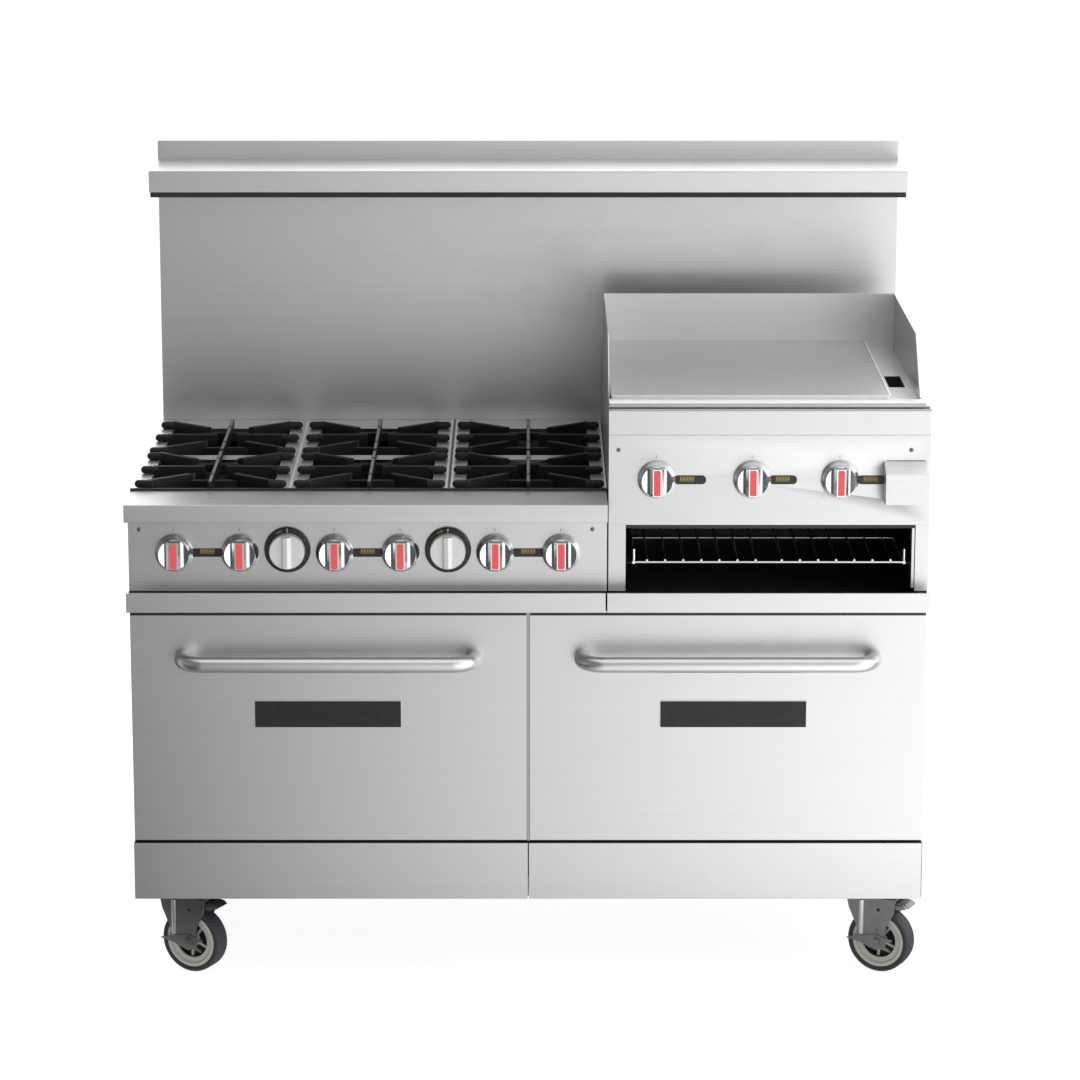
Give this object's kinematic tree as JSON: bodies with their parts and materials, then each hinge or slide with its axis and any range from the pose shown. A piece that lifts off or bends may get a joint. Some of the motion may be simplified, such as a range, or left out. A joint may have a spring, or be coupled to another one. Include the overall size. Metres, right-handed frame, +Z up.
{
  "type": "commercial gas range",
  "caption": "Restaurant gas range: open burners, raised griddle with broiler, ovens with drop-down doors, high shelf, casters.",
  "frame": {"origin": "on the floor, under the centre of the overall box", "axes": "+X to the cook's right, the front with its doors faces -Y, +Z up"},
  "size_m": [1.524, 0.855, 1.55],
  "materials": {
    "stainless": "brushed stainless sheet",
    "griddle_steel": "ground steel cooking plate",
    "bright_tube": "polished tube",
    "knob_chrome": "bright chrome with a red grip insert",
    "cast_iron": "matte black cast iron",
    "burner_iron": "raw cast iron",
    "black_enamel": "black porcelain enamel",
    "galvanised": "galvanised sheet and frame steel",
    "wire_chrome": "chromed wire",
    "brass": "machined brass",
    "gas_pipe": "black gas pipe",
    "zinc": "zinc plated pressing",
    "tyre": "dark blue-grey caster tyre"
  },
  "bodies": {
    "range_body": {"base_frame": "galvanised", "side_panels": "stainless", "rear_panel": "galvanised", "kick_panels": "stainless", "oven_liners": "black_enamel", "oven_hearth_plates": "black_enamel", "oven_burners": "burner_iron", "oven_front_frame": "black_enamel", "control_panel": "stainless", "front_rail": "stainless", "cooktop_deck": "stainless", "open_burners": "burner_iron", "gas_manifold": "gas_pipe", "gas_valves": "brass", "griddle_cabinet": "stainless", "broiler_liner": "black_enamel", "griddle_burners": "burner_iron", "griddle_plate": "griddle_steel", "griddle_splash_guard": "stainless", "backsplash": "stainless", "high_shelf": "stainless"},
    "oven_door_left": {"oven_door_left_outer": "stainless", "oven_door_left_inner": "black_enamel", "oven_door_left_handle": "bright_tube"},
    "oven_rack_left": {"oven_rack_left": "wire_chrome"},
    "oven_door_right": {"oven_door_right_outer": "stainless", "oven_door_right_inner": "black_enamel", "oven_door_right_handle": "bright_tube"},
    "oven_rack_right": {"oven_rack_right": "wire_chrome"},
    "crumb_tray_left": {"crumb_tray_left": "stainless"},
    "thermostat_knob_left": {"thermostat_knob_left": "knob_chrome"},
    "crumb_tray_right": {"crumb_tray_right": "stainless"},
    "thermostat_knob_right": {"thermostat_knob_right": "knob_chrome"},
    "burner_knob_1": {"burner_knob_1": "knob_chrome"},
    "burner_knob_2": {"burner_knob_2": "knob_chrome"},
    "burner_knob_3": {"burner_knob_3": "knob_chrome"},
    "burner_knob_4": {"burner_knob_4": "knob_chrome"},
    "burner_knob_5": {"burner_knob_5": "knob_chrome"},
    "burner_knob_6": {"burner_knob_6": "knob_chrome"},
    "griddle_knob_1": {"griddle_knob_1": "knob_chrome"},
    "griddle_knob_2": {"griddle_knob_2": "knob_chrome"},
    "griddle_knob_3": {"griddle_knob_3": "knob_chrome"},
    "grate_front_left": {"grate_front_left": "cast_iron"},
    "grate_rear_left": {"grate_rear_left": "cast_iron"},
    "grate_front_centre": {"grate_front_centre": "cast_iron"},
    "grate_rear_centre": {"grate_rear_centre": "cast_iron"},
    "grate_front_right": {"grate_front_right": "cast_iron"},
    "grate_rear_right": {"grate_rear_right": "cast_iron"},
    "broiler_rack": {"broiler_rack": "wire_chrome"},
    "grease_drawer": {"grease_drawer": "stainless"},
    "caster_fork_front_left": {"caster_fork_front_left": "zinc"},
    "caster_wheel_front_left": {"caster_wheel_front_left": "tyre"},
    "caster_brake_front_left": {"caster_brake_front_left": "zinc"},
    "caster_fork_front_right": {"caster_fork_front_right": "zinc"},
    "caster_wheel_front_right": {"caster_wheel_front_right": "tyre"},
    "caster_brake_front_right": {"caster_brake_front_right": "zinc"},
    "caster_fork_rear_left": {"caster_fork_rear_left": "zinc"},
    "caster_wheel_rear_left": {"caster_wheel_rear_left": "tyre"},
    "caster_fork_rear_right": {"caster_fork_rear_right": "zinc"},
    "caster_wheel_rear_right": {"caster_wheel_rear_right": "tyre"}
  },
  "joints": [
    {"name": "oven_door_left_hinge", "type": "hinge", "parent": "range_body", "child": "oven_door_left", "pos_m": [-0.381, -0.3445, 0.299], "axis": [1, 0, 0], "range_deg": [0, 88]},
    {"name": "oven_rack_left_slide", "type": "slide", "parent": "range_body", "child": "oven_rack_left", "axis": [0, -1, 0], "range_m": [0, 0.034]},
    {"name": "oven_door_right_hinge", "type": "hinge", "parent": "range_body", "child": "oven_door_right", "pos_m": [0.381, -0.3445, 0.299], "axis": [1, 0, 0], "range_deg": [0, 88]},
    {"name": "oven_rack_right_slide", "type": "slide", "parent": "range_body", "child": "oven_rack_right", "axis": [0, -1, 0], "range_m": [0, 0.034]},
    {"name": "crumb_tray_left_slide", "type": "slide", "parent": "range_body", "child": "crumb_tray_left", "axis": [0, -1, 0], "range_m": [0, 0.45]},
    {"name": "thermostat_left_turn", "type": "hinge", "parent": "range_body", "child": "thermostat_knob_left", "pos_m": [-0.4572, -0.3625, 0.868], "axis": [0, -1, 0], "range_deg": [0, 270]},
    {"name": "crumb_tray_right_slide", "type": "slide", "parent": "range_body", "child": "crumb_tray_right", "axis": [0, -1, 0], "range_m": [0, 0.45]},
    {"name": "thermostat_right_turn", "type": "hinge", "parent": "range_body", "child": "thermostat_knob_right", "pos_m": [-0.1524, -0.3625, 0.868], "axis": [0, -1, 0], "range_deg": [0, 270]},
    {"name": "burner_knob_1_turn", "type": "hinge", "parent": "range_body", "child": "burner_knob_1", "pos_m": [-0.6721, -0.3625, 0.862], "axis": [0, -1, 0], "range_deg": [0, 90]},
    {"name": "burner_knob_2_turn", "type": "hinge", "parent": "range_body", "child": "burner_knob_2", "pos_m": [-0.5471, -0.3625, 0.862], "axis": [0, -1, 0], "range_deg": [0, 90]},
    {"name": "burner_knob_3_turn", "type": "hinge", "parent": "range_body", "child": "burner_knob_3", "pos_m": [-0.3673, -0.3625, 0.862], "axis": [0, -1, 0], "range_deg": [0, 90]},
    {"name": "burner_knob_4_turn", "type": "hinge", "parent": "range_body", "child": "burner_knob_4", "pos_m": [-0.2423, -0.3625, 0.862], "axis": [0, -1, 0], "range_deg": [0, 90]},
    {"name": "burner_knob_5_turn", "type": "hinge", "parent": "range_body", "child": "burner_knob_5", "pos_m": [-0.0625, -0.3625, 0.862], "axis": [0, -1, 0], "range_deg": [0, 90]},
    {"name": "burner_knob_6_turn", "type": "hinge", "parent": "range_body", "child": "burner_knob_6", "pos_m": [0.0625, -0.3625, 0.862], "axis": [0, -1, 0], "range_deg": [0, 90]},
    {"name": "griddle_knob_1_turn", "type": "hinge", "parent": "range_body", "child": "griddle_knob_1", "pos_m": [0.243, -0.3625, 1.004], "axis": [0, -1, 0], "range_deg": [0, 90]},
    {"name": "griddle_knob_2_turn", "type": "hinge", "parent": "range_body", "child": "griddle_knob_2", "pos_m": [0.424, -0.3625, 1.004], "axis": [0, -1, 0], "range_deg": [0, 90]},
    {"name": "griddle_knob_3_turn", "type": "hinge", "parent": "range_body", "child": "griddle_knob_3", "pos_m": [0.59, -0.3625, 1.004], "axis": [0, -1, 0], "range_deg": [0, 90]},
    {"name": "grate_front_left_lift", "type": "slide", "parent": "range_body", "child": "grate_front_left", "axis": [0, 0, 1], "range_m": [0, 0.12]},
    {"name": "grate_rear_left_lift", "type": "slide", "parent": "range_body", "child": "grate_rear_left", "axis": [0, 0, 1], "range_m": [0, 0.12]},
    {"name": "grate_front_centre_lift", "type": "slide", "parent": "range_body", "child": "grate_front_centre", "axis": [0, 0, 1], "range_m": [0, 0.12]},
    {"name": "grate_rear_centre_lift", "type": "slide", "parent": "range_body", "child": "grate_rear_centre", "axis": [0, 0, 1], "range_m": [0, 0.12]},
    {"name": "grate_front_right_lift", "type": "slide", "parent": "range_body", "child": "grate_front_right", "axis": [0, 0, 1], "range_m": [0, 0.12]},
    {"name": "grate_rear_right_lift", "type": "slide", "parent": "range_body", "child": "grate_rear_right", "axis": [0, 0, 1], "range_m": [0, 0.12]},
    {"name": "broiler_rack_slide", "type": "slide", "parent": "range_body", "child": "broiler_rack", "axis": [0, -1, 0], "range_m": [0, 0.25]},
    {"name": "grease_drawer_slide", "type": "slide", "parent": "range_body", "child": "grease_drawer", "axis": [0, -1, 0], "range_m": [0, 0.25]},
    {"name": "caster_front_left_swivel", "type": "hinge", "parent": "range_body", "child": "caster_fork_front_left", "pos_m": [-0.674, -0.2605, 0.15], "axis": [0, 0, 1], "continuous": true},
    {"name": "caster_front_left_roll", "type": "hinge", "parent": "caster_fork_front_left", "child": "caster_wheel_front_left", "pos_m": [-0.6544, -0.27049, 0.0635], "axis": [0.454, 0.891, 0], "continuous": true},
    {"name": "caster_front_left_brake", "type": "hinge", "parent": "caster_fork_front_left", "child": "caster_brake_front_left", "pos_m": [-0.63836, -0.27866, 0.138], "axis": [0.454, 0.891, 0], "range_deg": [0, 10]},
    {"name": "caster_front_right_swivel", "type": "hinge", "parent": "range_body", "child": "caster_fork_front_right", "pos_m": [0.674, -0.2605, 0.15], "axis": [0, 0, 1], "continuous": true},
    {"name": "caster_front_right_roll", "type": "hinge", "parent": "caster_fork_front_right", "child": "caster_wheel_front_right", "pos_m": [0.6936, -0.27049, 0.0635], "axis": [0.454, 0.891, 0], "continuous": true},
    {"name": "caster_front_right_brake", "type": "hinge", "parent": "caster_fork_front_right", "child": "caster_brake_front_right", "pos_m": [0.70964, -0.27866, 0.138], "axis": [0.454, 0.891, 0], "range_deg": [0, 10]},
    {"name": "caster_rear_left_swivel", "type": "hinge", "parent": "range_body", "child": "caster_fork_rear_left", "pos_m": [-0.674, 0.3325, 0.15], "axis": [0, 0, 1], "continuous": true},
    {"name": "caster_rear_left_roll", "type": "hinge", "parent": "caster_fork_rear_left", "child": "caster_wheel_rear_left", "pos_m": [-0.6544, 0.32251, 0.0635], "axis": [0.454, 0.891, 0], "continuous": true},
    {"name": "caster_rear_right_swivel", "type": "hinge", "parent": "range_body", "child": "caster_fork_rear_right", "pos_m": [0.674, 0.3325, 0.15], "axis": [0, 0, 1], "continuous": true},
    {"name": "caster_rear_right_roll", "type": "hinge", "parent": "caster_fork_rear_right", "child": "caster_wheel_rear_right", "pos_m": [0.6936, 0.32251, 0.0635], "axis": [0.454, 0.891, 0], "continuous": true}
  ]
}
